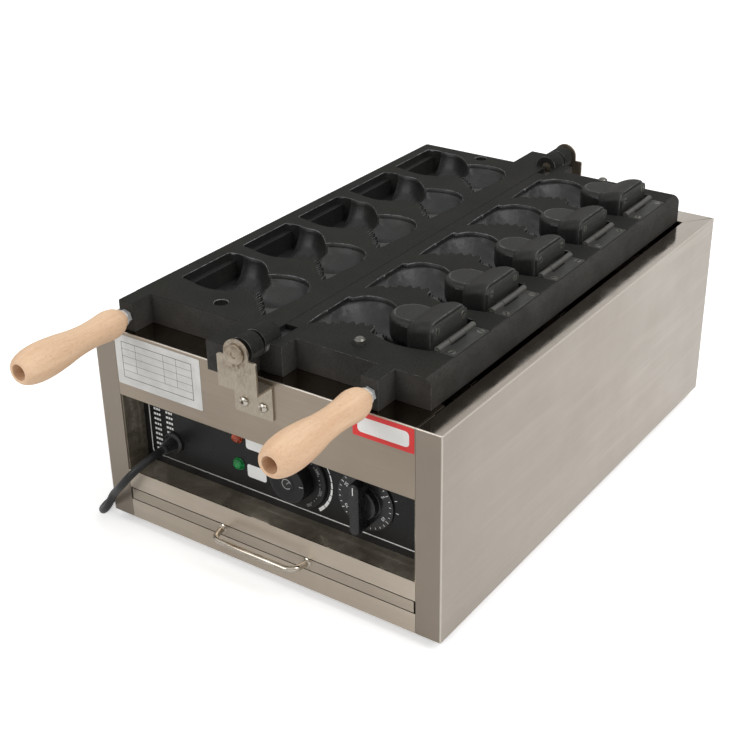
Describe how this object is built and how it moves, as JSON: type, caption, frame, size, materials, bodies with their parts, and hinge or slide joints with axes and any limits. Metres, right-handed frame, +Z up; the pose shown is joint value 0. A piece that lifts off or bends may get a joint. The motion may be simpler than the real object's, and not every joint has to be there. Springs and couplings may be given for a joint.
{
  "type": "egg bread maker",
  "caption": "Countertop egg bread maker: steel cabinet, hinged cast mould plates with swing-out cores, wooden handles, drip tray and mains lead",
  "frame": {"origin": "on the table, under the middle of the machine's box without its mains lead", "axes": "+X to the right along the front, +Y from the front to the back, +Z up"},
  "size_m": [0.514, 0.714, 0.2725],
  "materials": {
    "stainless_sheet": "brushed stainless sheet",
    "bright_hardware": "bright turned steel",
    "leaf_steel": "heat-tinted hinge steel",
    "cast_plate": "dark satin casting",
    "foot_rubber": "matt rubber",
    "panel_black": "black satin paint with printed white lines",
    "label_foil": "bare foil label",
    "heater_sheath": "dark tubular heater sheath",
    "switch_plastic": "moulded switch body",
    "lamp_lens": "clear coloured lens",
    "black_plastic": "black moulded plastic",
    "wire_insulation": "heat-proof wire",
    "cord_rubber": "black rubber lead",
    "beech": "turned beech",
    "zinc_plated": "zinc plated",
    "chrome_bow": "polished chrome"
  },
  "bodies": {
    "root": {"side_panel_left": "stainless_sheet", "side_panel_right": "stainless_sheet", "back_panel": "stainless_sheet", "front_upper_panel": "stainless_sheet", "front_lower_panel": "stainless_sheet", "bottom_rail": "stainless_sheet", "base_pan": "stainless_sheet", "rubber_feet": "foot_rubber", "recess_liner": "stainless_sheet", "control_panel": "panel_black", "front_labels": "label_foil", "hinge_bracket_front": "stainless_sheet", "hinge_bracket_rear": "stainless_sheet", "bracket_screws": "bright_hardware", "hinge_pins": "bright_hardware", "heater_left": "heater_sheath", "heater_right": "heater_sheath", "heat_tray": "stainless_sheet", "tray_runners": "stainless_sheet", "thermostat_body": "switch_plastic", "timer_body": "switch_plastic", "signal_lamps": "lamp_lens", "cord_gland": "black_plastic", "terminal_block": "switch_plastic", "internal_wiring": "wire_insulation", "mains_cord": "cord_rubber", "cord_coil": "cord_rubber", "cord_tie": "black_plastic", "plug": "black_plastic"},
    "left_plate": {"mould_plate_left": "cast_plate", "handle_left": "beech", "handle_fasteners_left": "zinc_plated"},
    "right_plate": {"mould_plate_right": "cast_plate", "locating_pins": "bright_hardware", "handle_right": "beech", "handle_fasteners_right": "zinc_plated", "fixed_leaves": "leaf_steel", "leaf_pins": "bright_hardware", "leaf_screws": "bright_hardware"},
    "drip_tray": {"drip_tray": "stainless_sheet", "tray_handle": "chrome_bow"},
    "temperature_knob": {"temperature_knob": "black_plastic", "thermostat_spindle": "zinc_plated"},
    "timer_knob": {"timer_knob": "black_plastic", "timer_spindle": "zinc_plated"},
    "core_1": {"mould_core_1": "cast_plate", "core_leaf_1": "leaf_steel", "core_screws_1": "bright_hardware"},
    "core_2": {"mould_core_2": "cast_plate", "core_leaf_2": "leaf_steel", "core_screws_2": "bright_hardware"},
    "core_3": {"mould_core_3": "cast_plate", "core_leaf_3": "leaf_steel", "core_screws_3": "bright_hardware"},
    "core_4": {"mould_core_4": "cast_plate", "core_leaf_4": "leaf_steel", "core_screws_4": "bright_hardware"},
    "core_5": {"mould_core_5": "cast_plate", "core_leaf_5": "leaf_steel", "core_screws_5": "bright_hardware"}
  },
  "joints": [
    {"name": "left_plate_hinge", "type": "hinge", "parent": "root", "child": "left_plate", "pos_m": [0, 0, 0.25025], "axis": [0, 1, 0], "range_deg": [0, 180]},
    {"name": "right_plate_hinge", "type": "hinge", "parent": "root", "child": "right_plate", "pos_m": [0, 0, 0.25025], "axis": [0, -1, 0], "range_deg": [0, 180]},
    {"name": "drip_tray_slide", "type": "slide", "parent": "root", "child": "drip_tray", "axis": [0, -1, 0], "range_m": [0, 0.38]},
    {"name": "temperature_knob_turn", "type": "hinge", "parent": "root", "child": "temperature_knob", "pos_m": [0.0226, -0.2, 0.1096], "axis": [0, 1, 0], "range_deg": [0, 270]},
    {"name": "timer_knob_turn", "type": "hinge", "parent": "root", "child": "timer_knob", "pos_m": [0.0985, -0.2, 0.1096], "axis": [0, 1, 0], "range_deg": [0, 300]},
    {"name": "core_1_hinge", "type": "hinge", "parent": "right_plate", "child": "core_1", "pos_m": [0.1415, -0.122, 0.251], "axis": [0, -1, 0], "range_deg": [-100, 0]},
    {"name": "core_2_hinge", "type": "hinge", "parent": "right_plate", "child": "core_2", "pos_m": [0.1415, -0.03, 0.251], "axis": [0, -1, 0], "range_deg": [-100, 0]},
    {"name": "core_3_hinge", "type": "hinge", "parent": "right_plate", "child": "core_3", "pos_m": [0.1415, 0.062, 0.251], "axis": [0, -1, 0], "range_deg": [-100, 0]},
    {"name": "core_4_hinge", "type": "hinge", "parent": "right_plate", "child": "core_4", "pos_m": [0.1415, 0.154, 0.251], "axis": [0, -1, 0], "range_deg": [-100, 0]},
    {"name": "core_5_hinge", "type": "hinge", "parent": "right_plate", "child": "core_5", "pos_m": [0.1415, 0.246, 0.251], "axis": [0, -1, 0], "range_deg": [-100, 0]}
  ]
}
